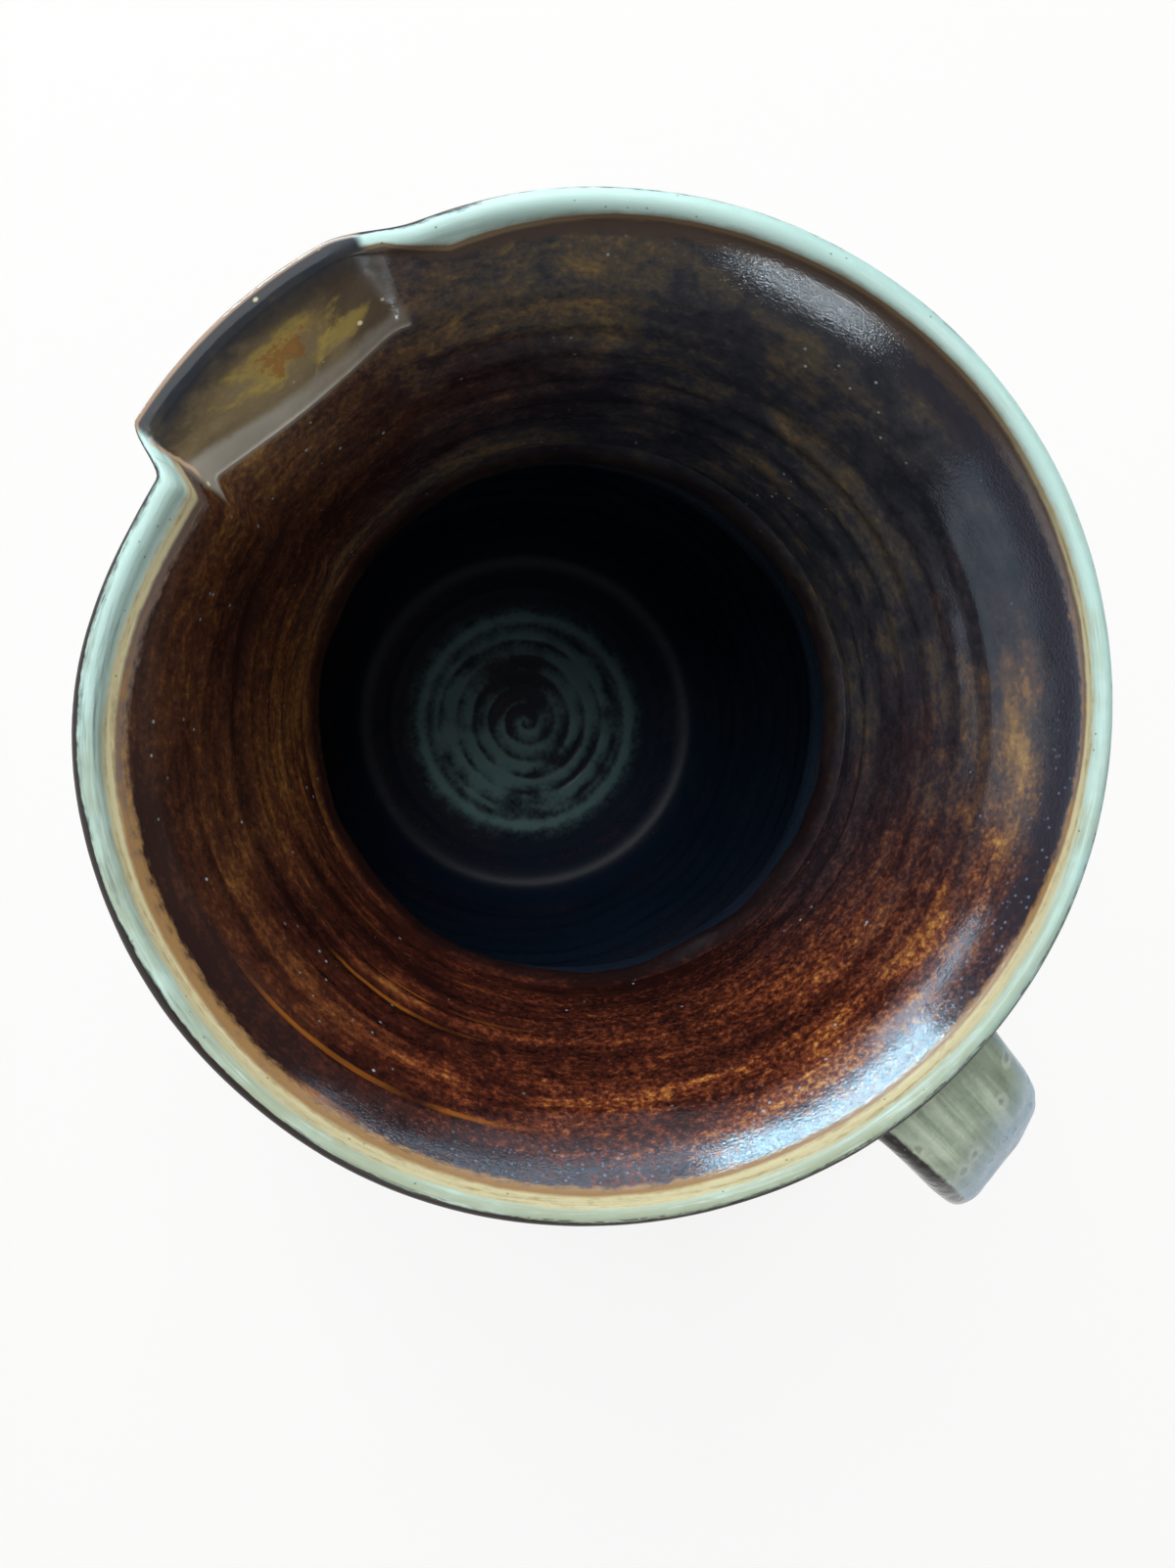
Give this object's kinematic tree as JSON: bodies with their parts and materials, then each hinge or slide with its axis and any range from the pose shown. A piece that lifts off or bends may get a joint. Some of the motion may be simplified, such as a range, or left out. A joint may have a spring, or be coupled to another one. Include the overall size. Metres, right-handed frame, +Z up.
{
  "type": "stoneware pitcher",
  "caption": "Hand-thrown stoneware pitcher with a full belly, narrow neck, flared mouth with a pinched pouring lip and a pulled strap handle, for holding and pouring liquids.",
  "frame": {"origin": "centre of the flat foot, on the surface the pitcher stands on", "axes": "+Z up along the pot's axis, +X towards the handle, -X towards the pouring lip"},
  "size_m": [0.1959, 0.16, 0.2199],
  "materials": {
    "olive_glaze": "satin olive-grey ash glaze breaking to iron brown, bare clay at the foot",
    "brown_glaze": "glossy dark amber-brown iron glaze streaked by the throwing rings, pale celadon band on the rim",
    "dark_glaze": "glossy near-black iron glaze",
    "lip_glaze": "very glossy brown-grey iron glaze with ochre patches",
    "handle_glaze": "satin olive-grey celadon with pale lengthwise streaks, brown at the edges"
  },
  "bodies": {
    "root": {"belly": "olive_glaze", "collar": "brown_glaze", "seam_coil": "dark_glaze", "pouring_lip": "lip_glaze", "handle_lug": "handle_glaze", "handle_strap": "handle_glaze", "handle_wad": "handle_glaze"}
  },
  "joints": []
}
